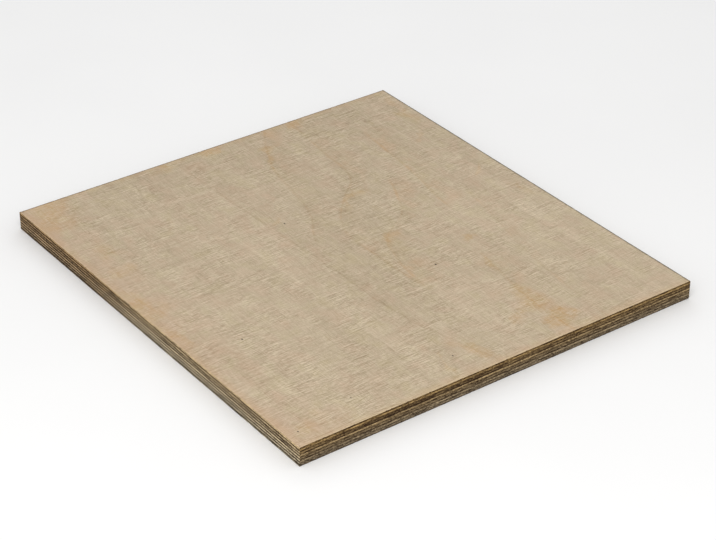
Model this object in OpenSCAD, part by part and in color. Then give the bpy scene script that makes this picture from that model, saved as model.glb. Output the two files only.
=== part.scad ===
// Birch plywood sheet, sawn to size and lying flat.
// An odd number of rotary-cut veneers is glued face to face, each with its grain at right angles
// to the next, so the layers show as bands on all four sawn edges.
// X runs across the grain of the face veneer, Y along it and Z up through the thickness.
// The origin is the centre of the underside. Veneers are numbered from the face down.

/* [Sheet] */
// Width of the sheet, across the face grain
sheet_w = 418; // [150:1:1525]
// Length of the sheet, along the face grain
sheet_l = 450; // [150:1:3050]
// Width of the chamfer where the sawn edges meet the face and the back
arris = 0.3; // [0.1:0.1:0.5]

/* [Veneers] */
// Number of veneers, odd so that the face and back grain run the same way
veneer_count = 13; // [3:2:35]
// Thickness of the face veneer and of the back veneer, once sanded
outer_t = 1.3; // [0.6:0.1:3]
// Thickness of each veneer between them
inner_t = 1.4; // [0.8:0.1:4]

/* [Hidden] */
// Whole thickness of the sheet: 18 mm with the values above
sheet_t = 2 * outer_t + (veneer_count - 2) * inner_t;

// Even veneers are the crossbands: their grain runs along X
function is_crossband(number) = number % 2 == 0;

// Two digits, so that the names sort from the face to the back
function two_digits(number) = str(number < 10 ? "0" : "", number);

// Name of an inner veneer, from its place below the face
function inner_name(number) = str(is_crossband(number) ? "crossband_" : "long_ply_", two_digits(number));

// Height of the underside of an inner veneer
function inner_z(number) = sheet_t - outer_t - (number - 1) * inner_t;

// Section of an outer veneer over one span, with its outer corners chamfered
module eased_section(span) {
    side = span / 2;
    polygon([
        [-side, 0],
        [side, 0],
        [side, outer_t - arris],
        [side - arris, outer_t],
        [arris - side, outer_t],
        [-side, outer_t - arris]
    ]);
}

// Outer veneer standing on z = 0, with its upper edges eased on all four sides
module outer_veneer() {
    intersection() {
        rotate([90, 0, 0])
            linear_extrude(sheet_l, center = true)
                eased_section(sheet_w);
        rotate([90, 0, 90])
            linear_extrude(sheet_w, center = true)
                eased_section(sheet_l);
    }
}

// Face veneer, the pale sanded show side
module face_veneer() {
    color("#bbaa91")
        translate([0, 0, sheet_t - outer_t])
            outer_veneer();
}

// Inner veneer, square to the sawn edges and as wide and as long as the sheet
module inner_veneer(number) {
    color(is_crossband(number) ? "#6b5844" : "#94826a")
        translate([-sheet_w / 2, -sheet_l / 2, inner_z(number)])
            cube([sheet_w, sheet_l, inner_t]);
}

// Back veneer, the face veneer turned over, resting on the floor
module back_veneer() {
    color("#b09c80")
        translate([0, 0, outer_t])
            mirror([0, 0, 1])
                outer_veneer();
}

face_veneer();
for (number = [2 : veneer_count - 1])
    inner_veneer(number);
back_veneer();
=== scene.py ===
"""A birch plywood sheet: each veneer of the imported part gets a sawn, sanded mesh of its own.

Lengths in the constants below are millimetres, because veneers and grain are that small; they
become metres where a mesh or a node tree is made. The floor, lamps and camera are in metres.
Places on the sheet are counted from its front left corner: x to the right across the face grain,
y to the back along it.
"""
import math

import bpy
import numpy as np
from mathutils import Matrix, Vector


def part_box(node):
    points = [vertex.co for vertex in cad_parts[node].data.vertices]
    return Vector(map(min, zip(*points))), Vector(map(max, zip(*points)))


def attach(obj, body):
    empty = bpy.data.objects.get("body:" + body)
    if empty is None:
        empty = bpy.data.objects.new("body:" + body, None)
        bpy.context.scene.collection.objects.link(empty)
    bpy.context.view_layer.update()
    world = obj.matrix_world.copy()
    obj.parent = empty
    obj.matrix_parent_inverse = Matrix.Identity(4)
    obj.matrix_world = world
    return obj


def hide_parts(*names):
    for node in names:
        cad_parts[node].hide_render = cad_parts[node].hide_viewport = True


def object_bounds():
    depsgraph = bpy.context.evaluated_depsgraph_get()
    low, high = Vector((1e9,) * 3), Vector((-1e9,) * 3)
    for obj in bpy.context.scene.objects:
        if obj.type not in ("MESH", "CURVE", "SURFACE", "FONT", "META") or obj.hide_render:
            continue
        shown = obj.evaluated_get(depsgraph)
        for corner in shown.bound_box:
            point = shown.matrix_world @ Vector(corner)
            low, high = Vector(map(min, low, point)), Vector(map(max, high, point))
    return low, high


MM = 0.001

# ---------------------------------------------------------------- sizes of the modelled detail
COLUMN = 0.5          # spacing of the mesh columns round the sawn edges
CORNER_R = 0.35       # worn roundness of the four upright corners
CORNER_STEPS = 4
FACE_CELL = 1.7       # mesh cell on the face
BACK_CELL = 4.0       # mesh cell on the back
HIDDEN_CELL = 24.0    # mesh cell on the glued faces between veneers
FLAT_MARGIN = 1.6     # the face mesh keeps full columns this far in from the arris
GRID_INSET = 3.4      # where the regular face grid starts
HIDDEN_INSET = 9.0    # past the deepest core gap
ARRIS = 0.3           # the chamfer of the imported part
CHIP_REACH = 0.65     # how far from the shown side a chip in the arris reaches
GROOVE_DEPTH = 0.11   # of the groove along each line of glue
GROOVE_SHARE = 0.15   # how much of a veneer's thickness that groove takes up
GAP_TAPER = 6.0       # the longest taper at the end of an open core joint
BURN_TAPER = 14.0     # and at the end of a burn
SIDE_APART = 1000.0   # added for each side, so that no two sides share their random relief

# Rows down the sawn edge of an inner veneer, as shares of its thickness.
INNER_ROWS = (0.0, 0.08, 0.28, 0.5, 0.72, 0.92, 1.0)

# Rows down the edge of an outer veneer, as distances from its shown side, and how far in the
# eased arris is at each. Its glued side is one more row.
OUTER_ROWS = (0.0, 0.07, 0.17, ARRIS, 0.5, 0.8, 1.08)
OUTER_EASE = (ARRIS + 0.04, 0.19, 0.08, 0.02, 0.0, 0.0, 0.0)
GLUED_EASE = 0.05

# How far in the saw went: its mean depth, then (depth, length) of its slow and quick waves.
SAW_DEPTH = 0.05
SAW_WAVES = ((0.035, 34.0), (0.02, 7.0))

# How much deeper the grain is than the saw, and its (length, height) cells.
END_GRAIN_DEPTH = 0.07
END_GRAIN_ROUGH = 0.05
END_GRAIN_CELL = (1.1, 0.33)
SIDE_GRAIN_ROUGH = 0.025
SIDE_GRAIN_CELL = (9.0, 0.25)
LEAN_CELL = (6.0, 0.7)

# Dents along an edge: (how many, half widths, depths).
TEARS = (90, (0.5, 1.6), (0.05, 0.22))
SPLINTERS = (70, (2.0, 9.0), (0.04, 0.20))
ARRIS_CHIPS = (150, (0.5, 2.2), (0.05, 0.38))
END_GRAIN_CHIPS = (90, (0.4, 1.2), (0.1, 0.5))

# How far the sanded side sags: its mean, then (depth, x cell, y cell) of its wave and ripple.
SAG = 0.012
SAG_WAVE = (0.007, 26.0, 90.0)
SAG_RIPPLE = (0.004, 7.0, 4.0)

# ---------------------------------------------------------------- a veneer's UV map
# Patches are (low corner, high corner). The edges are strips stacked between two heights.
SHOWN_PATCH = ((0.005, 0.005), (0.995, 0.89))
GLUED_PATCH = ((0.01, 0.975), (0.99, 0.995))
UPPER_PATCH = ((0.01, 0.88), (0.49, 0.99))
LOWER_PATCH = ((0.51, 0.88), (0.99, 0.99))
INNER_STRIPS = (0.0, 0.86)
INNER_FOLDS = 4
OUTER_STRIPS = (0.90, 0.97)
OUTER_FOLDS = 1
STRIP_GAP = 0.15      # left free above and below each strip, as a share of its height
STRIP_START = 0.01
STRIP_LENGTH = 0.98

# ---------------------------------------------------------------- colours, as sRGB bytes
FACE_DARK = (142, 122, 93)
FACE_LIGHT = (223, 206, 178)
FACE_WARM = (204, 160, 106)
FLECK_BROWN = (190, 148, 86)
FACE_PINK = (196, 164, 138)
FACE_STRAW = (194, 178, 132)
# painted highlight along the front and left arris of the face
FACE_PAINTED_HIGHLIGHT = (240, 216, 172)
# painted shade along the right and rear arris of the face
FACE_PAINTED_SHADE = (70, 60, 46)
PIN_BROWN = (34, 22, 14)
BURN_BROWN = (40, 21, 5)
# dark torn wood, with painted shade in the hollows of the pits
PIT_BROWN_AND_SHADE = (26, 15, 7)
GLUE_BROWN = (28, 17, 9)
EDGE_PAINTED_SHADE = (217, 203, 190)   # painted shade, multiplied in towards the rear of the left and right edges
FLOOR_PALE = (251, 251, 251)
FLOOR_WHITE = (253, 253, 253)

# The dark and the light wood of the sawn edges, at the face veneer and at the back veneer.
LONG_EDGE_DARK = ((52, 30, 12), (44, 33, 21))
LONG_EDGE_LIGHT = ((230, 202, 154), (214, 200, 171))
SHORT_EDGE_DARK = ((50, 26, 4), (42, 29, 17))
SHORT_EDGE_LIGHT = ((228, 189, 124), (212, 192, 160))

# How light each veneer's sawn edge is, from the face down, on the 0 to 1 scale between its dark
# and its light colour. The left and right edges are the long ones, cut along the face grain.
LONG_EDGE_TONES = (0.70, 0.03, 0.60, 0.08, 0.46, 0.03, 0.88, 0.04, 0.80, 0.03, 0.66, 0.05, 0.40)
SHORT_EDGE_TONES = (0.12, 0.38, 0.11, 0.20, 0.07, 0.46, 0.15, 0.22, 0.09, 0.38, 0.17, 0.25, 0.12)

# How much the noise moves those tones: this much, and more where the wood is light.
LONG_EDGE_SWING = 0.58
SHORT_EDGE_SWING = 0.42
LIGHT_WOOD_SWING = 1.2

# ---------------------------------------------------------------- the face's figure
# The face is darker at the rear: its tone up to here, and at the rear edge.
FACE_TONE = 0.505
FACE_TONE_REAR = 0.465
DARKER_FROM = 300.0

LINE_HALF_WIDTH = 1.7   # of a growth line
FADE_LENGTH = 25        # over which a growth line fades in or out

# Growth lines: (strength, warmth, where it fades in, where it fades out, its (y, x) points).
GROWTH_LINES = (
    (
        0.85, 0.1, -20, 480,
        ((0, 207), (50, 192), (90, 183), (130, 178), (200, 176), (350, 169), (450, 165)),
    ),
    (
        0.8, 0.5, 120, 480,
        ((120, 224), (200, 221), (240, 222), (262, 230), (300, 262), (320, 283), (380, 293), (450, 301)),
    ),
    (
        0.7, 0.5, 235, 480,
        ((235, 188), (255, 195), (290, 215), (330, 225), (380, 236), (450, 272)),
    ),
    (
        0.6, 0.9, 115, 310,
        ((115, 225), (160, 228), (190, 236), (215, 247), (240, 282), (270, 300), (310, 316)),
    ),
    (0.7, 0.9, -20, 150, ((0, 286), (30, 284), (80, 288), (110, 293), (150, 300))),
    (0.7, 0.9, 215, 400, ((215, 326), (250, 330), (290, 338), (350, 345), (400, 350))),
    (0.4, 0.6, -20, 260, ((0, 322), (60, 326), (100, 331), (150, 340), (190, 350), (260, 362))),
    (0.4, 0.3, -20, 480, ((0, 24), (120, 20), (250, 17), (370, 22), (450, 26))),
    (-0.6, 0.0, -20, 320, ((0, 146), (150, 141), (320, 135))),
    (-0.5, 0.0, 40, 480, ((40, 388), (200, 380), (330, 377), (450, 371))),
)

# A faint line across the grain: the y of its dark and its pale half, and their half width.
MARK_DARK_Y = 290.0
MARK_PALE_Y = 281.0
MARK_HALF_WIDTH = 4.0

# Brown flecks: (x, y, half length, half width, angle from the x axis in degrees, strength).
FLECKS = (
    (206, 441, 12, 7, 0, 2.0),
    (247, 402, 26, 5, 57, 0.75),
    (272, 438, 14, 6, 60, 0.45),
    (302, 442, 12, 6, 0, 1.1),
    (150, 440, 16, 5, 0, 0.6),
    (264, 294, 20, 6, 25, 0.8),
    (252, 214, 12, 6, 45, 0.62),
    (307, 170, 10, 5, 10, 0.85),
    (286, 62, 26, 10, 80, 0.8),
    (288, 25, 14, 11, 0, 1.3),
    (262, 45, 22, 6, 40, 0.5),
    (196, 30, 24, 5, -60, 0.66),
    (165, 28, 20, 3, 75, 0.5),
    (183, 298, 7, 5, 0, 0.6),
    (121, 307, 6, 5, 0, 0.4),
    (389, 350, 14, 3, 55, 0.6),
    (395, 265, 12, 3, 45, 0.6),
    (292, 125, 14, 4, 75, 0.5),
    (100, 350, 12, 4, 70, 0.3),
    (30, 345, 16, 9, 70, 0.5),
    (24, 305, 14, 8, 20, 0.5),
    (10, 245, 30, 10, 90, 0.7),
    (8, 185, 26, 8, 90, 0.6),
    (22, 425, 32, 18, 60, 0.75),
    (35, 20, 30, 14, 10, 0.4),
    (408, 405, 30, 7, 85, 0.5),
    (405, 215, 26, 6, 85, 0.4),
)
BACK_FLECKS = FLECKS[::3]

# Paler, cooler patches, in the same terms.
PALE_PATCHES = (
    (95, 405, 34, 14, 80, 0.6),
    (262, 268, 30, 12, 25, 0.9),
    (296, 308, 12, 9, 0, 0.7),
    (345, 110, 46, 10, 84, 1.0),
    (388, 175, 22, 8, -50, 0.7),
    (10, 92, 26, 8, 90, 1.0),
    (76, 76, 22, 12, 60, 0.5),
    (205, 65, 40, 9, 110, 0.6),
    (216, 25, 20, 8, 60, 0.7),
    (140, 160, 9, 6, 0, 0.6),
    (100, 110, 26, 14, 60, 0.4),
    (45, 370, 18, 9, 90, 0.5),
    (310, 410, 22, 12, 90, 0.5),
    (205, 310, 24, 12, 70, 0.5),
)

# Pin marks: (x, y, radius).
PINS = (
    (177, 31, 0.6),
    (73, 32, 0.5),
    (12, 19, 0.6),
    (254, 153, 0.75),
    (49, 154, 0.7),
    (186, 290, 0.7),
)

# ---------------------------------------------------------------- marks on the sawn edges
SIDES = ("front", "right", "rear", "left")
FRONT_REAR = (0, 2)
LEFT_RIGHT = (1, 3)

# Where the saw burnt an edge: (node, side, where it starts, where it ends, strength). Lengths
# along a side are counted anticlockwise from its first corner.
BURNS = (
    ("long_ply_03", "front", 90, 170, 0.30),
    ("crossband_04", "front", 52, 208, 0.55),
    ("long_ply_05", "front", 60, 214, 0.80),
    ("crossband_06", "front", 75, 150, 0.25),
    ("crossband_12", "left", 24, 130, 0.35),
    ("long_ply_11", "left", 40, 128, 0.30),
    ("back_veneer", "left", 10, 150, 0.40),
    ("long_ply_05", "rear", 210, 300, 0.50),
    ("crossband_10", "right", 300, 380, 0.40),
)

# Open core joints: (node, side, where it starts, where it ends, depth).
CORE_GAPS = (
    ("crossband_12", "left", 121, 127, 4.0),
    ("long_ply_07", "front", 331, 332.6, 5.0),
    ("crossband_08", "left", 301, 302.8, 4.5),
    ("crossband_10", "right", 118, 119.6, 5.5),
    ("long_ply_09", "rear", 96, 97.8, 6.0),
    ("long_ply_03", "rear", 262, 263.4, 4.0),
)

# ---------------------------------------------------------------- gloss and fine relief
NOISE_TURN = (0.5, 0.4, 0.7)   # keeps the noise's own lattice from lining up with the grain
FACE_ROUGHNESS = 0.60
FACE_SPECULAR = 0.35
FACE_RELIEF = 0.035
EDGE_ROUGHNESS = 0.82
EDGE_SPECULAR = 0.12
END_GRAIN_RELIEF = 0.12
SIDE_GRAIN_RELIEF = 0.09
FLOOR_ROUGHNESS = 0.9
FLOOR_SPECULAR = 0.1
FLOOR_RELIEF = 0.02

# ---------------------------------------------------------------- the stage, in metres
FLOOR_HALF = 6.0
FLOOR_DROP = 0.0001            # below the sheet, so that the two don't share a plane
WORLD_STRENGTH = 0.70

# Lamps: (name, place, what it points at, size, power in watts, colour).
LAMPS = (
    ("key", (-0.75, -0.9, 1.2), (0.0, 0.0, 0.0), (1.2, 1.2), 10.6, (1.0, 0.99, 0.97)),
    ("backdrop", (1.1, 2.2, 1.5), (1.0, 2.1, 0.0), (2.0, 1.2), 9.0, (0.99, 0.99, 1.0)),
)

CAMERA_LENS = 110.91
CAMERA_SENSOR = 36.0
CAMERA_CLIP = (0.05, 60.0)
CAMERA_FROM_CORNER = (-0.78530, -1.14445, 1.02823)   # from the sheet's front left top corner
CAMERA_HEADING = 53.673        # degrees from +x towards +y
CAMERA_TILT = 31.913           # degrees down
CAMERA_ROLL = 0.210


# ================================================================ random relief
def smooth(x):
    return x * x * (3 - 2 * x)


def value_noise(seed, u, v, cell_u, cell_v):
    """Smooth random heights from -1 to 1 on cells of this size, the same for the same seed."""
    table = np.random.default_rng(seed).uniform(-1, 1, 4096)
    gu, gv = u / cell_u, v / cell_v
    iu, iv = np.floor(gu).astype(int), np.floor(gv).astype(int)
    fu, fv = smooth(gu - iu), smooth(gv - iv)

    def corner(du, dv):
        return table[((iu + du) * 7919 + (iv + dv) * 104729) % len(table)]

    low = corner(0, 0) * (1 - fu) + corner(1, 0) * fu
    high = corner(0, 1) * (1 - fu) + corner(1, 1) * fu
    return low * (1 - fv) + high * fv


def line_noise(seed, along, cell):
    """The same along a line only."""
    return value_noise(seed, along, np.zeros_like(along), cell, 1.0)


def dents(seed, along, count, widths, depths):
    """Random small dents along a length: rounded, with these ranges of half width and depth."""
    draw = np.random.default_rng(seed)
    found = np.zeros_like(along)
    for _ in range(count):
        place = draw.uniform(along.min(), along.max())
        width, depth = draw.uniform(*widths), draw.uniform(*depths)
        shape = np.clip(1 - ((along - place) / width) ** 2, 0, None)
        found = np.maximum(found, depth * shape)
    return found


# ================================================================ the outline all veneers share
class Outline:
    """Columns round the sheet, anticlockwise from the front left corner, with a place, an inward
    direction, a side and a distance along that side for each. Lengths are in mm."""

    def __init__(self, width, length):
        self.spans = (width, length, width, length)
        places, inwards, sides, alongs = [], [], [], []
        corner = np.array([-width / 2, -length / 2])
        for number, span in enumerate(self.spans):
            turn = number * math.pi / 2
            ahead = np.array([math.cos(turn), math.sin(turn)])
            inward = np.array([-ahead[1], ahead[0]])
            steps = round((span - 2 * CORNER_R) / COLUMN)
            for at in np.linspace(CORNER_R, span - CORNER_R, steps + 1):
                places.append(corner + ahead * at)
                inwards.append(inward)
                sides.append(number)
                alongs.append(at)
            centre = corner + ahead * (span - CORNER_R) + inward * CORNER_R
            for step in range(1, CORNER_STEPS):
                angle = step / CORNER_STEPS * math.pi / 2
                direction = inward * math.cos(angle) - ahead * math.sin(angle)
                places.append(centre - direction * CORNER_R)
                inwards.append(direction)
                sides.append(number)
                alongs.append(span - CORNER_R + CORNER_R * math.sin(angle))
            corner = corner + ahead * span
        self.place, self.inward = np.array(places), np.array(inwards)
        self.side, self.along = np.array(sides), np.array(alongs)
        self.lap = self.side + self.along / np.array(self.spans)[self.side]
        self.count = len(places)

    def inset(self, depth):
        return self.place + self.inward * np.asarray(depth).reshape(-1, 1)

    def relief_along(self):
        """The distance to read random relief at, far apart for different sides."""
        return self.along + self.side * SIDE_APART


class MeshMaker:
    """Gathers points and faces, with a material slot and UVs for each face, and makes the object."""

    def __init__(self):
        self.points, self.faces, self.slots, self.uvs = [], [], [], []
        self.total = 0

    def add_points(self, xy, z):
        xyz = np.column_stack([xy, np.broadcast_to(z, len(xy))])
        self.points.append(xyz)
        self.total += len(xyz)
        return np.arange(self.total - len(xyz), self.total)

    def add_faces(self, corners, slot, uv):
        """corners: one row of point numbers for each face; uv: the same shape with two more."""
        self.faces.append(corners)
        self.slots.append(np.broadcast_to(slot, len(corners)))
        self.uvs.append(uv)

    def build(self, name, materials):
        points = np.concatenate(self.points) * MM
        mesh = bpy.data.meshes.new(name)
        sizes = np.concatenate([np.full(len(f), f.shape[1]) for f in self.faces])
        corners = np.concatenate([f.ravel() for f in self.faces])
        mesh.vertices.add(len(points))
        mesh.vertices.foreach_set("co", points.ravel().astype(np.float32))
        mesh.loops.add(len(corners))
        mesh.loops.foreach_set("vertex_index", corners.astype(np.int32))
        mesh.polygons.add(len(sizes))
        mesh.polygons.foreach_set("loop_start", (np.cumsum(sizes) - sizes).astype(np.int32))
        mesh.polygons.foreach_set("material_index", np.concatenate(self.slots).astype(np.int32))
        mesh.polygons.foreach_set("use_smooth", np.ones(len(sizes), bool))
        layer = mesh.uv_layers.new(name="OFBake")
        layer.uv.foreach_set("vector", np.concatenate([u.reshape(-1, 2) for u in self.uvs]).ravel())
        for material in materials:
            mesh.materials.append(material)
        mesh.update(calc_edges=True)
        mesh.validate()
        made = bpy.data.objects.new(name, mesh)
        bpy.context.scene.collection.objects.link(made)
        return made


# ================================================================ the parts of a veneer's mesh
def zip_loops(outer, outer_lap, inner, inner_lap):
    """Triangles that fill the band between two closed loops, both anticlockwise and laid out by
    how many sides of the sheet each point has passed."""
    found, i, j = [], 0, 0
    outer_lap, inner_lap = np.append(outer_lap, 4.0), np.append(inner_lap, 4.0)
    while i < len(outer) or j < len(inner):
        here, there = outer[i % len(outer)], inner[j % len(inner)]
        if j == len(inner) or (i < len(outer) and outer_lap[i + 1] <= inner_lap[j + 1]):
            i += 1
            found.append((here, outer[i % len(outer)], there))
        else:
            j += 1
            found.append((here, inner[j % len(inner)], there))
    return np.array(found)


def on_patch(outline, xy, patch):
    """Where these places on the sheet go on this patch of the UV map."""
    size = np.array(outline.spans[:2])
    low, high = np.array(patch[0]), np.array(patch[1])
    return low + (xy + size / 2) / size * (high - low)


def flat_side(maker, outline, loop, loop_xy, z, inset, cell, upward, patch, slot, sag=None):
    """The face, back or glued side of a veneer, from its outer loop of columns inwards: a band of
    triangles and then a regular grid. patch is its place on the UV map; sag lowers the grid."""
    width, length = outline.spans[0], outline.spans[1]
    columns = round((width - 2 * inset) / cell)
    rows = round((length - 2 * inset) / cell)
    xs = np.linspace(inset - width / 2, width / 2 - inset, columns + 1)
    ys = np.linspace(inset - length / 2, length / 2 - inset, rows + 1)
    gx, gy = np.meshgrid(xs, ys)
    grid_xy = np.column_stack([gx.ravel(), gy.ravel()])
    heights = z if sag is None else z + sag(grid_xy)
    grid = maker.add_points(grid_xy, heights).reshape(rows + 1, columns + 1)
    ring = np.concatenate([grid[0, :-1], grid[:-1, -1], grid[-1, :0:-1], grid[:0:-1, 0]])
    counts = (columns, rows, columns, rows)
    lap = np.concatenate([side + np.arange(n) / n for side, n in enumerate(counts)])
    band = zip_loops(loop, outline.lap, ring, lap)
    cell_corners = (grid[:-1, :-1], grid[:-1, 1:], grid[1:, 1:], grid[1:, :-1])
    quads = np.column_stack([numbers.ravel() for numbers in cell_corners])
    known_xy = np.zeros((maker.total, 2))
    known_xy[loop] = loop_xy
    known_xy[grid.ravel()] = grid_xy
    for corners in (band, quads):
        if not upward:
            corners = corners[:, ::-1]
        maker.add_faces(corners, slot, on_patch(outline, known_xy[corners], patch))


def edge_band(maker, outline, loops, shares, slots, strips):
    """Quads between one loop of columns and the next below it. shares says how far down each loop
    is, and strips(side, start, along, down) where a corner goes on the UV map."""
    after = np.roll(np.arange(outline.count), -1)
    near = outline.along
    far = near[after].copy()
    turned = outline.side[after] != outline.side
    far[turned] = np.array(outline.spans)[outline.side[turned]]
    for upper, lower, upper_down, lower_down in zip(loops, loops[1:], shares, shares[1:]):
        corners = np.column_stack([upper, lower, lower[after], upper[after]])
        uv = np.stack(
            [
                strips(outline.side, near, near, upper_down),
                strips(outline.side, near, near, lower_down),
                strips(outline.side, near, far, lower_down),
                strips(outline.side, near, far, upper_down),
            ],
            axis=1,
        )
        maker.add_faces(corners, np.asarray(slots)[outline.side], uv)


def strip_layout(outline, heights, folds):
    """UV places for the four edges, each cut into this many lengths, stacked as strips between
    two heights of the map."""
    low, high = heights
    strip = (high - low) / (4 * folds)
    spans = np.array(outline.spans)

    def place(side, start, along, down):
        length = spans[side] / folds
        fold = np.clip(np.floor(start / length), 0, folds - 1)
        across = STRIP_START + STRIP_LENGTH * (along - fold * length) / length
        base = low + (side * folds + fold) * strip
        up = STRIP_GAP + (1 - 2 * STRIP_GAP) * (1 - down)
        return np.column_stack([across, base + strip * up])

    return place


# ================================================================ the veneers
def sawn_depth(outline, seed, end_grain_sides, row_heights):
    """How far in the saw and the tearing of the fibres left each point of a veneer's edge, one row
    of columns for each height. End grain is rougher, and side grain loses long splinters."""
    along = outline.relief_along()
    end = np.isin(outline.side, end_grain_sides)
    (wave, wave_length), (ripple, ripple_length) = SAW_WAVES
    slow = SAW_DEPTH + wave * line_noise(seed, along, wave_length)
    slow = slow + ripple * line_noise(seed + 1, along, ripple_length)
    tears = dents(seed + 2, along, *TEARS)
    splinters = dents(seed + 3, along, *SPLINTERS)
    rows = []
    for height in row_heights:
        level = np.full_like(along, height)
        rough = value_noise(seed + 4, along, level, *END_GRAIN_CELL)
        fibre = value_noise(seed + 5, along, level, *SIDE_GRAIN_CELL)
        lean = 0.5 + 0.5 * value_noise(seed + 6, along, level, *LEAN_CELL)
        torn = END_GRAIN_DEPTH + END_GRAIN_ROUGH * (1 + rough) + tears * lean
        split = SIDE_GRAIN_ROUGH * (1 + fibre) + splinters * lean
        rows.append(slow + np.where(end, torn, split))
    return rows


def marks_along(outline, node, marks, longest_taper, seed, raggedness, ragged_length):
    """The strongest of these burns or core joints at each column of this veneer's edge."""
    strongest = np.zeros(outline.count)
    for name, side, start, end, strength in marks:
        if name == node:
            here = outline.side == SIDES.index(side)
            taper = min(longest_taper, (end - start) / 4)
            rise = np.clip((outline.along - start) / taper, 0, 1)
            fall = np.clip((end - outline.along) / taper, 0, 1)
            ragged = 1 + raggedness * line_noise(seed, outline.along, ragged_length)
            mark = strength * smooth(rise * fall) * ragged
            strongest = np.where(here, np.maximum(strongest, mark), strongest)
    return strongest


def core_gap_depth(outline, node):
    """The extra depth of the open core joints that this veneer shows."""
    return marks_along(outline, node, CORE_GAPS, GAP_TAPER, 77, 0.3, 5.0)


def burn_share(outline, node):
    """How burnt this veneer's edge is at each column."""
    return np.clip(marks_along(outline, node, BURNS, BURN_TAPER, 88, 0.35, 4.0), 0, 1)


def patch_share(piece, outline, patches):
    """How strong the strongest of these patches is at each point of the mesh."""
    points = np.zeros(len(piece.data.vertices) * 3, np.float32)
    piece.data.vertices.foreach_get("co", points)
    x = points[0::3] / MM + outline.spans[0] / 2
    y = points[1::3] / MM + outline.spans[1] / 2
    # Noise moves the places first, so that no patch is a neat oval.
    x = x + 5.0 * value_noise(61, x, y, 9.0, 12.0) + 2.0 * value_noise(62, x, y, 3.5, 4.0)
    y = y + 6.0 * value_noise(63, x, y, 10.0, 12.0) + 2.0 * value_noise(64, x, y, 4.0, 3.5)
    strongest = np.zeros(len(x))
    for patch_x, patch_y, half_length, half_width, angle, strength in patches:
        turn = math.radians(angle)
        off_x, off_y = x - patch_x, y - patch_y
        ahead = (off_x * math.cos(turn) + off_y * math.sin(turn)) / half_length
        aside = (off_y * math.cos(turn) - off_x * math.sin(turn)) / half_width
        strongest = np.maximum(strongest, strength * np.exp(-(ahead**4 + aside**2)))
    return strongest


def store(piece, name, values):
    """Keeps a number for each point of the mesh, for the piece's material to read."""
    layer = piece.data.attributes.new(name, "FLOAT", "POINT")
    layer.data.foreach_set("value", values.astype(np.float32))


def store_burns(piece, outline, node, loops):
    """The edge's columns are the only burnt points of a veneer."""
    burnt = np.zeros(len(piece.data.vertices))
    burnt[np.concatenate(loops)] = np.tile(burn_share(outline, node), len(loops))
    store(piece, "burn", burnt)


def inner_veneer(outline, node, number, materials):
    """A veneer between the outer two: a sawn edge with grooves at the glue, and two hidden sides.
    materials are those of its side grain and of its end grain."""
    low, high = (corner.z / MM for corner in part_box(node))
    crossband = number % 2 == 0
    end_grain_sides = LEFT_RIGHT if crossband else FRONT_REAR
    shares = np.array(INNER_ROWS)
    heights = high - shares * (high - low)
    from_glue = np.minimum(shares, 1 - shares)
    groove = GROOVE_DEPTH * np.clip(1 - from_glue / GROOVE_SHARE, 0, 1)
    rows = sawn_depth(outline, 100 * number, end_grain_sides, heights)
    gap = core_gap_depth(outline, node)
    maker, loops, outlines = MeshMaker(), [], []
    for height, row, cut in zip(heights, rows, groove):
        xy = outline.inset(row + cut + gap)
        outlines.append(xy)
        loops.append(maker.add_points(xy, height))
    slots = [1 if side in end_grain_sides else 0 for side in range(4)]
    edge_band(maker, outline, loops, shares, slots, strip_layout(outline, INNER_STRIPS, INNER_FOLDS))
    for at, upward, patch in ((0, True, UPPER_PATCH), (-1, False, LOWER_PATCH)):
        flat_side(
            maker, outline, loops[at], outlines[at], heights[at],
            HIDDEN_INSET, HIDDEN_CELL, upward, patch, slot=0,
        )
    made = maker.build(node + "_sawn", materials)
    store_burns(made, outline, node, loops)
    return made


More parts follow.
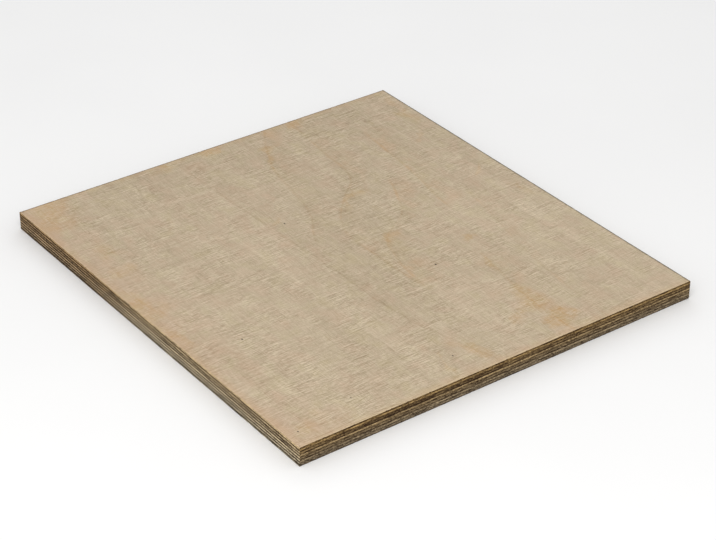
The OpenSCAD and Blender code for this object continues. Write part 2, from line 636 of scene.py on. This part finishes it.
def outer_veneer(outline, node, number, materials, face_up, cell, flecks):
    """The face veneer, or the back veneer with face_up False. Its outer arris is eased and chipped.
    materials are those of its sanded side, its left and right edges, and its front and rear."""
    low, high = (corner.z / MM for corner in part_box(node))
    shown, glued = (high, low) if face_up else (low, high)
    inwards = -1 if face_up else 1
    thick = high - low
    drops = np.array((*OUTER_ROWS, thick))
    eased = np.array((*OUTER_EASE, GLUED_EASE))
    heights = shown + (glued - shown) * drops / thick
    rows = sawn_depth(outline, 100 * number, FRONT_REAR, heights)
    along = outline.relief_along()
    end_grain = np.isin(outline.side, FRONT_REAR)
    chips = dents(100 * number + 50, along, *ARRIS_CHIPS)
    chips += np.where(end_grain, dents(100 * number + 51, along, *END_GRAIN_CHIPS), 0)
    maker, loops, outlines = MeshMaker(), [], []
    for height, row, drop, ease in zip(heights, rows, drops, eased):
        depth = row + ease + chips * np.clip(1 - drop / CHIP_REACH, 0, 1)
        outlines.append(outline.inset(depth))
        loops.append(maker.add_points(outlines[-1], height))
    strips = strip_layout(outline, OUTER_STRIPS, OUTER_FOLDS)
    shares = drops / thick
    slots = [2 if side in FRONT_REAR else 1 for side in range(4)]
    downwards = 1 if face_up else -1
    edge_band(maker, outline, loops[::downwards], shares[::downwards], slots, strips)

    def sag(xy):
        """The sanded side's faint waves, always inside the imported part."""
        wave = SAG_WAVE[0] * value_noise(900 + number, xy[:, 0], xy[:, 1], *SAG_WAVE[1:])
        ripple = SAG_RIPPLE[0] * value_noise(901 + number, xy[:, 0], xy[:, 1], *SAG_RIPPLE[1:])
        return inwards * (SAG + wave + ripple)

    margin_xy = outline.inset(np.full(outline.count, FLAT_MARGIN))
    margin = maker.add_points(margin_xy, shown + sag(margin_xy))
    after = np.roll(np.arange(outline.count), -1)
    quads = np.column_stack([loops[0], loops[0][after], margin[after], margin])
    known_xy = np.zeros((maker.total, 2))
    known_xy[loops[0]], known_xy[margin] = outlines[0], margin_xy
    if not face_up:
        quads = quads[:, ::-1]
    maker.add_faces(quads, 0, on_patch(outline, known_xy[quads], SHOWN_PATCH))
    flat_side(
        maker, outline, margin, margin_xy, shown,
        GRID_INSET, cell, face_up, SHOWN_PATCH, slot=0, sag=sag,
    )
    flat_side(
        maker, outline, loops[-1], outlines[-1], glued,
        HIDDEN_INSET, HIDDEN_CELL, not face_up, GLUED_PATCH, slot=1,
    )
    made = maker.build(node + "_sanded", materials)
    store(made, "fleck", patch_share(made, outline, flecks))
    store(made, "pale", patch_share(made, outline, PALE_PATCHES))
    store_burns(made, outline, node, loops)
    return made


# ================================================================ materials
def linear(colour):
    """An sRGB byte colour as the linear one that a shader takes."""
    shares = [c / 255 for c in colour]
    return tuple(s / 12.92 if s <= 0.04045 else ((s + 0.055) / 1.055) ** 2.4 for s in shares) + (1.0,)


def between(share, pair):
    """The sRGB byte colour this share of the way from one of the pair to the other."""
    return tuple(a + share * (b - a) for a, b in zip(*pair))


class Graph:
    """A material's nodes, with one short method for each kind used here."""

    def __init__(self, name):
        self.material = bpy.data.materials.new(name)
        self.material.use_nodes = True
        self.tree = self.material.node_tree
        self.tree.nodes.clear()

    def node(self, kind, inputs, **settings):
        made = self.tree.nodes.new(kind)
        for key, value in settings.items():
            setattr(made, key, value)
        for key, value in inputs.items():
            if isinstance(value, bpy.types.NodeSocket):
                self.tree.links.new(value, made.inputs[key])
            else:
                made.inputs[key].default_value = value
        return made

    def place(self):
        """Where a point is on the piece, in millimetres."""
        own = self.node("ShaderNodeTexCoord", {}).outputs["Object"]
        to_mm = (1 / MM, 1 / MM, 1 / MM)
        return self.node("ShaderNodeMapping", {"Vector": own, "Scale": to_mm}).outputs[0]

    def apart(self, vector):
        return self.node("ShaderNodeSeparateXYZ", {"Vector": vector}).outputs

    def together(self, x, y, z):
        return self.node("ShaderNodeCombineXYZ", {"X": x, "Y": y, "Z": z}).outputs[0]

    def math(self, operation, a, b=0.0):
        return self.node("ShaderNodeMath", {0: a, 1: b}, operation=operation).outputs[0]

    def add(self, a, b):
        return self.math("ADD", a, b)

    def less(self, a, b):
        return self.math("SUBTRACT", a, b)

    def times(self, a, b):
        return self.math("MULTIPLY", a, b)

    def largest(self, a, b):
        return self.math("MAXIMUM", a, b)

    def smallest(self, a, b):
        return self.math("MINIMUM", a, b)

    def sum_of(self, start, parts):
        """start and each part times its amount."""
        for part, amount in parts:
            start = self.add(start, self.times(part, amount))
        return start

    def ridge(self, off, half_width):
        """1 where off is 0, falling away smoothly to either side."""
        return self.math("EXPONENT", self.times(self.times(off, off), -1 / half_width**2))

    def rescale(self, value, low, high, new_low=0.0, new_high=1.0, kind="SMOOTHSTEP"):
        """value from low to high, brought to new_low to new_high and held there outside."""
        inputs = {
            "Value": value,
            "From Min": low,
            "From Max": high,
            "To Min": new_low,
            "To Max": new_high,
        }
        return self.node("ShaderNodeMapRange", inputs, interpolation_type=kind).outputs[0]

    def noise(self, vector, cell, detail=2.0, roughness=0.5, distortion=0.0, offset=(0, 0, 0)):
        """Noise centred on 0, about -0.3 to 0.3, whose cells are this many mm in x, y and z."""
        scale = tuple(1 / size for size in cell)
        moved = self.node(
            "ShaderNodeMapping",
            {"Vector": vector, "Location": offset, "Rotation": NOISE_TURN, "Scale": scale},
        )
        inputs = {
            "Vector": moved.outputs[0],
            "Scale": 1.0,
            "Detail": detail,
            "Roughness": roughness,
            "Distortion": distortion,
        }
        return self.less(self.node("ShaderNodeTexNoise", inputs).outputs[0], 0.5)

    def blend(self, share, first, second, kind="MIX"):
        inputs = {0: share, 6: first, 7: second}
        return self.node("ShaderNodeMix", inputs, data_type="RGBA", blend_type=kind).outputs[2]

    def curve(self, value, points):
        """value, from 0 to 1, read off a smooth curve through these points."""
        made = self.node("ShaderNodeFloatCurve", {"Value": value})
        line = made.mapping.curves[0]
        for spot, (x, y) in zip((line.points[0], line.points[1]), (points[0], points[-1])):
            spot.location = (x, y)
        for x, y in points[1:-1]:
            line.points.new(x, y)
        made.mapping.update()
        return made.outputs[0]

    def attribute(self, name):
        return self.node("ShaderNodeAttribute", {}, attribute_name=name).outputs["Fac"]

    def bump(self, height, depth):
        """height 0 to 1 as relief this many mm deep."""
        inputs = {"Height": height, "Distance": depth * MM, "Strength": 1.0}
        return self.node("ShaderNodeBump", inputs).outputs[0]

    def finish(self, colour, roughness, normal, specular):
        inputs = {
            "Base Color": colour,
            "Roughness": roughness,
            "Normal": normal,
            "Specular IOR Level": specular,
        }
        shader = self.node("ShaderNodeBsdfPrincipled", inputs)
        self.node("ShaderNodeOutputMaterial", {"Surface": shader.outputs[0]})
        return self.material


class SandedGrain:
    """Places on a sanded side, and the layers of noise that make up its grain, each centred on 0.
    A noise's cell is its size in x, y and z."""

    def __init__(self, g, width, length, seed):
        self.width, self.length = width, length
        place = g.place()
        px, py, pz = g.apart(place)
        self.x, self.y = g.add(px, width / 2), g.add(py, length / 2)
        shift = (seed, seed * 0.7, 0)

        # The figure bends a little, so that nothing runs dead straight.
        wander = g.times(g.noise(place, (40, 70, 9), 2, offset=shift), 14.0)
        bent = g.together(g.add(px, wander), py, pz)
        sway = g.times(g.noise(place, (50, 40, 9), 1, offset=(9 + seed, 2, 0)), 5.0)
        swayed = g.together(px, g.add(py, sway), pz)

        self.broad = g.noise(place, (95, 160, 9), 2, offset=shift)
        self.bands = g.noise(bent, (13, 420, 9), 3, 0.5, offset=shift)
        self.cloud = g.noise(place, (16, 20, 9), 3, 0.5, offset=shift)
        self.patch = g.noise(place, (20, 24, 9), 3, offset=(3 + seed, 8, 0))
        self.tint = g.noise(place, (17, 21, 9), 2, 0.6, offset=(5 + seed, 7, 0))
        self.arris_wobble = g.noise(place, (2.0, 2.0, 9), 3, 0.6, offset=(2 + seed, 5, 0))
        self.streak_long = g.noise(swayed, (24, 0.78, 9), 2, 0.6, 0.15, offset=shift)
        self.streak_short = g.noise(swayed, (4.8, 0.62, 9), 2, 0.6, 0.2, offset=shift)
        self.lines_along = g.noise(bent, (0.80, 14, 9), 2, 0.6, offset=shift)
        self.mottle = g.noise(place, (1.15, 1.0, 9), 2, 0.6, offset=shift)
        vessels = g.noise(bent, (0.16, 4.5, 9), 1, 0.5, offset=shift)
        self.pores = g.rescale(vessels, 0.12, 0.26)
        self.pale = g.attribute("pale")
        self.fleck = g.attribute("fleck")


def growth_figure(g, grain):
    """The lines of the growth rings on the face, as how dark and how warm they make it: most just
    at the line, fading out to its right."""
    total, warm = 0.0, 0.0
    for strength, warmth, start, end, points in GROWTH_LINES:
        first, last = points[0][0], points[-1][0]
        share = g.rescale(grain.y, first, last, kind="LINEAR")
        places = [((y - first) / (last - first), x / grain.width) for y, x in points]
        line_x = g.times(g.curve(share, places), grain.width)
        off = g.less(grain.x, line_x)
        thin = g.ridge(off, LINE_HALF_WIDTH)
        right = g.times(g.rescale(off, -0.8, 1.2), g.rescale(off, 3.0, 30.0, 0.42, 0.0))
        line = g.largest(thin, right)
        fade_in = g.rescale(grain.y, start, start + FADE_LENGTH)
        fade_out = g.rescale(grain.y, end - FADE_LENGTH, end, 1.0, 0.0)
        line = g.times(g.times(line, g.times(fade_in, fade_out)), strength)
        total = g.add(total, line)
        if warmth > 0:
            warm = g.add(warm, g.times(line, warmth))
    return total, warm


def press_mark(g, grain):
    """A faint line across the grain, dark with a pale one in front of it."""
    dark = g.ridge(g.less(grain.y, MARK_DARK_Y), MARK_HALF_WIDTH)
    pale = g.ridge(g.less(grain.y, MARK_PALE_Y), MARK_HALF_WIDTH)
    reach = g.times(g.rescale(grain.x, 25.0, 60.0), g.rescale(grain.x, 150.0, 200.0, 1.0, 0.0))
    return g.times(g.less(dark, g.times(pale, 0.7)), reach)


def sanded_tone(g, grain, figure, mark):
    """How light the sanded wood is, from 0 to 1."""
    # Streaks across the grain are stronger in patches, and near the left edge.
    patch = g.rescale(grain.patch, -0.16, 0.18, 0.28, 1.25)
    from_left = g.add(grain.x, g.times(grain.y, 0.35))
    patch = g.add(patch, g.rescale(from_left, 30.0, 190.0, 0.35, 0.0))
    texture = g.sum_of(
        g.times(grain.mottle, 0.45),
        (
            (g.times(grain.streak_long, patch), 1.25),
            (g.times(grain.streak_short, patch), 1.28),
            (grain.lines_along, 0.61),
            (grain.pores, -0.16),
        ),
    )
    # The smooth step holds back the few places where all of these are dark or pale together.
    texture = g.rescale(texture, -0.55, 0.55, -0.40, 0.40)
    to_rear = g.rescale(grain.y, DARKER_FROM, grain.length, FACE_TONE, FACE_TONE_REAR)
    tone = g.sum_of(
        g.add(to_rear, texture),
        ((grain.broad, 0.26), (grain.bands, 0.27), (grain.cloud, 0.11), (grain.pale, 0.045)),
    )
    if figure is not None:
        tone = g.sum_of(tone, ((figure, -0.16), (mark, -0.07)))
    return g.smallest(g.largest(tone, 0.0), 1.0)


def sanded_tint(g, grain, colour, warm_lines):
    """Warmer towards the left edge and in slow patches, with brown flecks."""
    slow_warmth = g.add(g.times(grain.broad, 0.25), g.times(grain.tint, 1.1))
    slow_warmth = g.add(slow_warmth, g.times(grain.pale, -0.20))
    warmth = g.add(g.rescale(grain.x, 0.0, 60.0, 0.32, 0.07), slow_warmth)
    colour = g.blend(g.largest(warmth, 0.0), colour, linear(FACE_PINK))
    colour = g.blend(g.largest(g.times(grain.tint, -1.0), 0.0), colour, linear(FACE_STRAW))
    if warm_lines is not None:
        patchy = g.times(warm_lines, g.rescale(grain.tint, -0.12, 0.15, 0.15, 0.50))
        colour = g.blend(g.largest(patchy, 0.0), colour, linear(FACE_WARM))
    fine = g.add(grain.streak_short, g.times(grain.lines_along, 0.8))
    grainy = g.rescale(fine, -0.30, 0.20, 1.0, 0.25)
    ragged = g.rescale(g.add(grain.fleck, g.times(grain.cloud, 1.1)), 0.05, 0.95)
    return g.blend(g.times(g.times(ragged, grainy), 0.60), colour, linear(FLECK_BROWN))


def arris_painted_light_and_tan(g, grain, colour):
    """The arris: a pale band of painted highlight in front and on the left, a dark band of painted
    shade at the right and the rear, and a tanned border."""
    # Painted highlight: a pale band along the front and left arris.
    fine = g.add(g.times(grain.streak_short, 2.0), g.times(grain.lines_along, 2.0))
    ragged = g.add(g.times(grain.arris_wobble, 5.5), fine)
    from_front_left = g.add(g.smallest(g.add(grain.x, 0.5), grain.y), ragged)
    front_left_painted_highlight = g.rescale(from_front_left, 0.2, 2.0, 1.0, 0.0)
    colour = g.blend(g.times(front_left_painted_highlight, 0.55), colour, linear(FACE_PAINTED_HIGHLIGHT))
    # Painted shade: a dark band along the right and rear arris.
    from_right, from_rear = g.less(grain.width, grain.x), g.less(grain.length, grain.y)
    from_far_side = g.add(g.smallest(from_right, from_rear), g.times(ragged, 0.35))
    far_side_painted_shade = g.rescale(from_far_side, 0.5, 2.3, 1.0, 0.0)
    colour = g.blend(g.times(far_side_painted_shade, 0.88), colour, linear(FACE_PAINTED_SHADE))
    from_any = g.smallest(g.smallest(grain.x, grain.y), from_rear)
    tanned = g.rescale(g.add(from_any, g.times(grain.cloud, 11.0)), 0.0, 11.0, 1.0, 0.0)
    return g.blend(g.times(tanned, 0.18), colour, linear(FACE_WARM))


def pin_marks(g, grain):
    """1 at the pin marks, which are longer along the grain than across it."""
    dark = None
    for pin_x, pin_y, radius in PINS:
        off = g.together(g.less(grain.x, pin_x), g.times(g.less(grain.y, pin_y), 0.6), 0.0)
        reach = g.node("ShaderNodeVectorMath", {0: off}, operation="LENGTH").outputs["Value"]
        spot = g.rescale(reach, radius * 0.5, radius * 1.4, 1.0, 0.0)
        dark = spot if dark is None else g.largest(dark, spot)
    return dark


def sanded_material(name, width, length, seed, with_figure):
    """Sanded birch: pale, with growth lines along the sheet, short silky streaks across it, fine
    vessel lines, brown flecks and pin marks."""
    g = Graph(name)
    grain = SandedGrain(g, width, length, seed)
    figure, mark, warm_lines = None, None, None
    if with_figure:
        broken = g.rescale(grain.cloud, -0.25, 0.25, 0.45, 1.35)
        lines, warm = growth_figure(g, grain)
        figure, warm_lines = g.times(lines, broken), g.times(warm, broken)
        mark = g.times(press_mark(g, grain), broken)
    tone = sanded_tone(g, grain, figure, mark)
    colour = g.blend(tone, linear(FACE_DARK), linear(FACE_LIGHT))
    colour = sanded_tint(g, grain, colour, warm_lines)
    colour = arris_painted_light_and_tan(g, grain, colour)
    pins = pin_marks(g, grain)
    colour = g.blend(g.times(pins, 0.92), colour, linear(PIN_BROWN))
    roughness = g.sum_of(FACE_ROUGHNESS, ((grain.streak_long, -0.25), (grain.pores, 0.12)))
    relief = g.sum_of(
        g.times(grain.lines_along, 0.5),
        ((grain.streak_short, 0.35), (grain.pores, -0.5), (pins, -2.0)),
    )
    return g.finish(colour, roughness, g.bump(relief, FACE_RELIEF), FACE_SPECULAR)


def edge_material(name, tone, dark, light, end_grain, left_right_with_painted_shade, seed, low, high):
    """A veneer's sawn edge: side grain with long fibres, or end grain with pores and lathe checks,
    torn pits in both, and the dark film of glue above and below. A noise's cell is its length
    along the edge and its height."""
    g = Graph(name)
    px, py, pz = g.apart(g.place())
    along = g.add(px, py)
    at = g.together(along, pz, float(seed) * 3.7)
    swept = g.together(g.add(along, g.times(pz, 0.15)), g.times(pz, 0.03), 0.0)
    saw = g.noise(swept, (1.5, 1, 1), 2)
    slow = g.noise(at, (15, 3, 1), 2)
    speck = g.noise(at, (2.2, 0.7, 1), 2, 0.6)
    if end_grain:
        leaning = g.together(g.add(along, g.times(pz, 0.45)), pz, float(seed) * 5.1)
        checks = g.noise(leaning, (0.5, 2.4, 1), 2, 0.65)
        bundles = g.noise(at, (5.0, 0.55, 1), 3, 0.6, 0.3)
        pores = g.rescale(g.noise(at, (0.13, 0.17, 1), 1, 0.5), 0.06, 0.20)
        parts = ((slow, 1.0), (speck, 1.5), (bundles, 1.5), (checks, 0.75), (saw, 0.2), (pores, -0.16))
        relief = g.add(g.times(checks, 1.2), g.times(pores, -0.35))
        depth = END_GRAIN_RELIEF
    else:
        fibre = g.noise(at, (8.0, 0.26, 1), 3, 0.65, 0.15)
        fine = g.noise(at, (2.6, 0.10, 1), 2, 0.6)
        parts = ((slow, 1.0), (speck, 1.7), (fibre, 1.6), (fine, 0.45), (saw, 0.2))
        relief = g.add(g.times(fibre, 1.0), g.times(fine, 0.6))
        depth = SIDE_GRAIN_RELIEF
    swing = (LONG_EDGE_SWING if left_right_with_painted_shade else SHORT_EDGE_SWING) + LIGHT_WOOD_SWING * tone
    value = g.add(tone, g.times(g.sum_of(0.0, parts), swing))
    value = g.smallest(g.largest(value, 0.02), 1.0)
    colour = g.blend(value, linear(dark), linear(light))
    burnt = g.times(g.attribute("burn"), g.rescale(speck, -0.2, 0.2, 1.0, 0.6))
    colour = g.blend(burnt, colour, linear(BURN_BROWN))
    # Painted shade: the left and right edges darken towards the rear.
    if left_right_with_painted_shade:
        rear_painted_shade = g.rescale(g.add(py, g.times(slow, 120.0)), -10.0, 110.0)
        colour = g.blend(rear_painted_shade, colour, linear(EDGE_PAINTED_SHADE), "MULTIPLY")

    # Pits where the saw tore the wood out, dark torn wood with painted shade in their hollows, and saw
    # marks that cross all the veneers.
    torn = g.noise(at, (2.6, 0.75, 1), 2, 0.6, offset=(31, 17, 0))
    pits = g.rescale(torn, 0.11, 0.20)
    colour = g.blend(g.times(pits, 0.55), colour, linear(PIT_BROWN_AND_SHADE))
    relief = g.sum_of(relief, ((pits, -0.8), (saw, 0.6)))

    # Glue: a dark film at the two faces of the veneer, its thickness wandering.
    ragged = g.times(speck, 0.10)
    from_top = g.add(g.less(high, pz), ragged)
    from_bottom = g.add(g.less(pz, low), ragged)
    film = g.rescale(g.smallest(from_top, from_bottom), 0.03, 0.16, 1.0, 0.0)
    colour = g.blend(g.times(film, 0.75), colour, linear(GLUE_BROWN))
    roughness = g.add(EDGE_ROUGHNESS, g.times(speck, 0.3))
    return g.finish(colour, roughness, g.bump(relief, depth), EDGE_SPECULAR)


def edge_materials(node, number, count, low, high):
    """The materials of this veneer's left and right edges, and of its front and rear ones."""
    crossband = number % 2 == 0
    share = (number - 1) / (count - 1)
    left_right = edge_material(
        node + "_long_edge",
        tone=LONG_EDGE_TONES[number - 1],
        dark=between(share, LONG_EDGE_DARK),
        light=between(share, LONG_EDGE_LIGHT),
        end_grain=crossband,
        left_right_with_painted_shade=True,
        seed=2 * number,
        low=low,
        high=high,
    )
    front_rear = edge_material(
        node + "_short_edge",
        tone=SHORT_EDGE_TONES[number - 1],
        dark=between(share, SHORT_EDGE_DARK),
        light=between(share, SHORT_EDGE_LIGHT),
        end_grain=not crossband,
        left_right_with_painted_shade=False,
        seed=2 * number + 1,
        low=low,
        high=high,
    )
    return left_right, front_rear


# ================================================================ the stage
def floor_material():
    g = Graph("floor_paper")
    place = g.place()
    mottle = g.noise(place, (180, 180, 180), 2)
    colour = g.blend(g.rescale(mottle, -0.3, 0.3), linear(FLOOR_PALE), linear(FLOOR_WHITE))
    tooth = g.noise(place, (0.8, 0.8, 0.8), 2)
    return g.finish(colour, FLOOR_ROUGHNESS, g.bump(tooth, FLOOR_RELIEF), FLOOR_SPECULAR)


def add_floor():
    half = FLOOR_HALF
    corners = [(-half, -half, 0), (half, -half, 0), (half, half, 0), (-half, half, 0)]
    mesh = bpy.data.meshes.new("floor")
    mesh.from_pydata(corners, [], [(0, 1, 2, 3)])
    mesh.materials.append(floor_material())
    floor = bpy.data.objects.new("floor", mesh)
    floor.location.z = -FLOOR_DROP
    bpy.context.scene.collection.objects.link(floor)


def add_lamp(name, place, target, size, power, colour):
    data = bpy.data.lights.new(name, "AREA")
    data.shape = "RECTANGLE"
    data.size, data.size_y = size
    data.energy = power
    data.color = colour
    lamp = bpy.data.objects.new(name, data)
    lamp.location = place
    lamp.rotation_euler = (Vector(target) - Vector(place)).to_track_quat("-Z", "Y").to_euler()
    bpy.context.scene.collection.objects.link(lamp)


def add_light():
    world = bpy.data.worlds.new("studio")
    world.use_nodes = True
    background = world.node_tree.nodes["Background"]
    background.inputs["Color"].default_value = (1.0, 1.0, 1.0, 1.0)
    background.inputs["Strength"].default_value = WORLD_STRENGTH
    bpy.context.scene.world = world
    for lamp in LAMPS:
        add_lamp(*lamp)


def add_camera(width, length, thickness):
    """At the photograph's viewing angle, set off from the sheet's front left top corner."""
    data = bpy.data.cameras.new("view")
    data.lens = CAMERA_LENS
    data.sensor_width = CAMERA_SENSOR
    data.clip_start, data.clip_end = CAMERA_CLIP
    camera = bpy.data.objects.new("view", data)
    corner = Vector((-width / 2, -length / 2, thickness))
    camera.location = corner + Vector(CAMERA_FROM_CORNER)
    yaw, pitch, roll = (math.radians(a) for a in (CAMERA_HEADING, CAMERA_TILT, CAMERA_ROLL))
    level = math.cos(pitch)
    ahead = Vector((math.cos(yaw) * level, math.sin(yaw) * level, -math.sin(pitch)))
    side = Vector((math.sin(yaw), -math.cos(yaw), 0.0))
    up = side.cross(ahead)
    right = side * math.cos(roll) + up * math.sin(roll)
    above = up * math.cos(roll) - side * math.sin(roll)
    turned = Matrix((right, above, -ahead)).transposed()
    camera.rotation_mode = "QUATERNION"
    camera.rotation_quaternion = turned.to_quaternion()
    bpy.context.scene.collection.objects.link(camera)
    bpy.context.scene.camera = camera


# ================================================================ the sheet
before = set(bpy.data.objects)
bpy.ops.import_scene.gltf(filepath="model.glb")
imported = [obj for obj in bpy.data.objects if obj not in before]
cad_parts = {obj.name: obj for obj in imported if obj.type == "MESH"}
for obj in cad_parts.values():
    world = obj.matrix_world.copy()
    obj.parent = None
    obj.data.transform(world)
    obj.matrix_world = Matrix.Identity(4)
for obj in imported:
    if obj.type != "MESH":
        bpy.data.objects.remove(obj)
cad_low, cad_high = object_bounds()
sheet_size = (cad_high - cad_low) / MM
outline = Outline(sheet_size.x, sheet_size.y)
from_the_top = sorted(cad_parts, key=lambda node: -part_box(node)[1].z)

for number, node in enumerate(from_the_top, start=1):
    low_z, high_z = (corner.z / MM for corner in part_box(node))
    left_right, front_rear = edge_materials(node, number, len(from_the_top), low_z, high_z)
    if number == 1:
        sanded = sanded_material("birch_face", sheet_size.x, sheet_size.y, 0.0, True)
        materials = (sanded, left_right, front_rear)
        piece = outer_veneer(outline, node, number, materials, True, FACE_CELL, FLECKS)
    elif number == len(from_the_top):
        sanded = sanded_material("birch_back", sheet_size.x, sheet_size.y, 41.0, False)
        materials = (sanded, left_right, front_rear)
        piece = outer_veneer(outline, node, number, materials, False, BACK_CELL, BACK_FLECKS)
    else:
        crossband = number % 2 == 0
        materials = (front_rear, left_right) if crossband else (left_right, front_rear)
        piece = inner_veneer(outline, node, number, materials)
    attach(piece, "root")
    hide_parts(node)

add_floor()
add_light()
add_camera(sheet_size.x * MM, sheet_size.y * MM, sheet_size.z * MM)
bpy.context.scene.view_settings.view_transform = "Standard"
